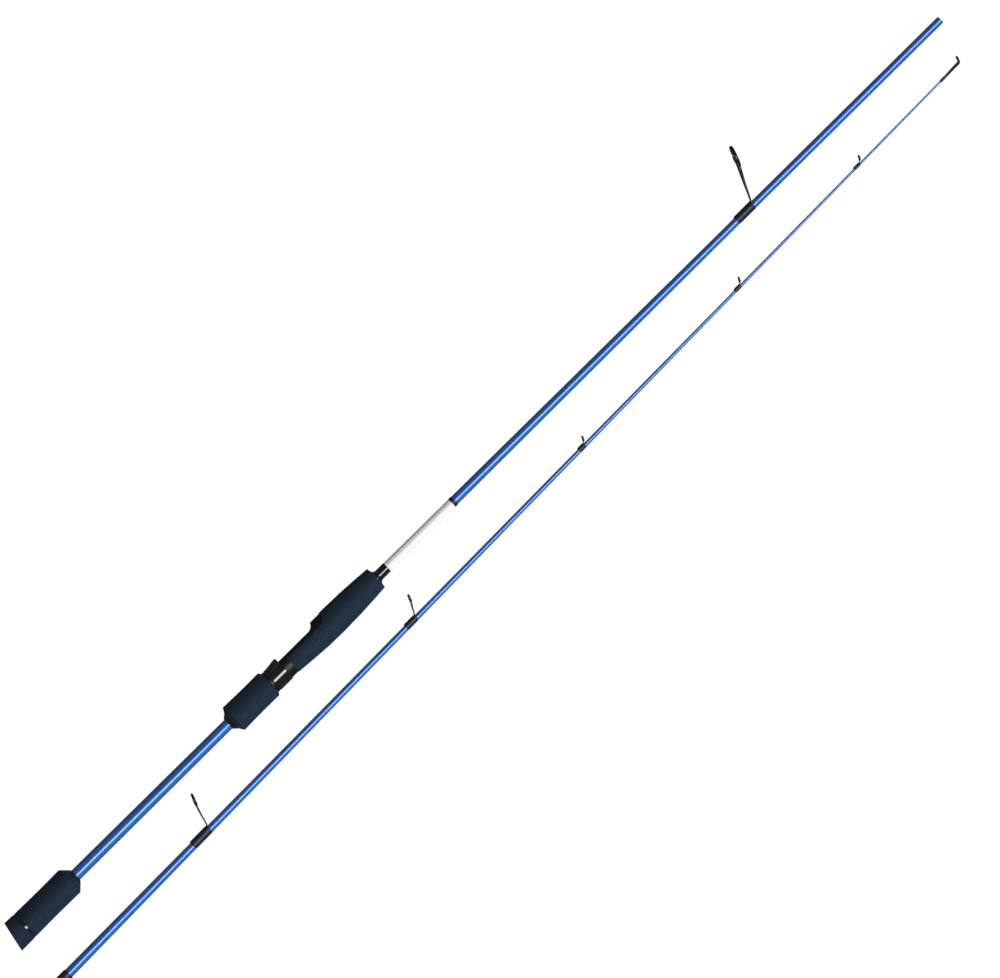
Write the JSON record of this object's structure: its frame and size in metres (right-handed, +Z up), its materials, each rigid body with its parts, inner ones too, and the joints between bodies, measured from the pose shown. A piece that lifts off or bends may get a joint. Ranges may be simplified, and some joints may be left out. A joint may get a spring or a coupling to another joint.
{
  "type": "spinning fishing rod",
  "caption": "Two-piece spinning rod laid out in its two sections, with split foam grips, a screw-down reel seat, line guides and a push-over joint.",
  "frame": {"origin": "centre of the bounding box, on the surface that the two sections lie on", "axes": "+X along the butt section to its thin end, +Y the side of the reel and line guides, +Z up"},
  "size_m": [1.11, 0.1086, 0.027],
  "materials": {
    "blue_blank": "clear-coated metallic blue",
    "navy_foam": "fine closed-cell foam, matte",
    "navy_wrap": "thread under clear varnish",
    "guide_frame": "black-plated, satin",
    "guide_ceramic": "polished dark ceramic",
    "gloss_black": "polished black",
    "seat_black": "moulded, satin",
    "arbor": "plain"
  },
  "bodies": {
    "butt_section": {"butt_blank": "blue_blank", "butt_cap": "navy_foam", "butt_cap_ring": "gloss_black", "butt_grip": "navy_foam", "butt_grip_check": "gloss_black", "reel_seat_body": "seat_black", "rear_seat_arbor": "arbor", "front_seat_arbor": "arbor", "foregrip": "navy_foam", "front_check": "gloss_black", "trim_wrap": "navy_wrap", "stripper_frame": "guide_frame", "stripper_ring": "guide_ceramic", "stripper_wrap": "navy_wrap"},
    "hood": {"sliding_hood": "gloss_black"},
    "nut": {"lock_nut": "seat_black", "nut_grip": "navy_foam", "nut_rear_check": "gloss_black", "nut_front_ring": "gloss_black"},
    "tip_section": {"tip_blank": "blue_blank", "ferrule_wrap": "navy_wrap", "guide_1_frame": "guide_frame", "guide_1_ring": "guide_ceramic", "guide_1_wrap": "navy_wrap", "guide_2_frame": "guide_frame", "guide_2_ring": "guide_ceramic", "guide_2_wrap": "navy_wrap", "guide_3_frame": "guide_frame", "guide_3_ring": "guide_ceramic", "guide_3_wrap": "navy_wrap", "guide_4_frame": "guide_frame", "guide_4_ring": "guide_ceramic", "guide_4_wrap": "navy_wrap", "guide_5_frame": "guide_frame", "guide_5_ring": "guide_ceramic", "guide_5_wrap": "navy_wrap", "tip_top_frame": "guide_frame", "tip_top_ring": "guide_ceramic", "tip_top_wrap": "navy_wrap"}
  },
  "joints": [
    {"name": "hood_slide", "type": "slide", "parent": "butt_section", "child": "hood", "axis": [1, 0, 0], "range_m": [-0.01401, 0.00601]},
    {"name": "nut_turn", "type": "hinge", "parent": "hood", "child": "nut", "pos_m": [-0.26251, 0.00521, 0.0135], "axis": [1, 0, 0], "range_deg": [-2520, 1080]},
    {"name": "tip_section_slide", "type": "slide", "parent": "butt_section", "child": "tip_section", "axis": [0.9999, 0.0164, 0], "range_m": [0, 1.13]}
  ],
  "couplings": [
    {"joint": "hood_slide", "follows": "nut_turn", "m_per_rad": 0.00031831}
  ]
}
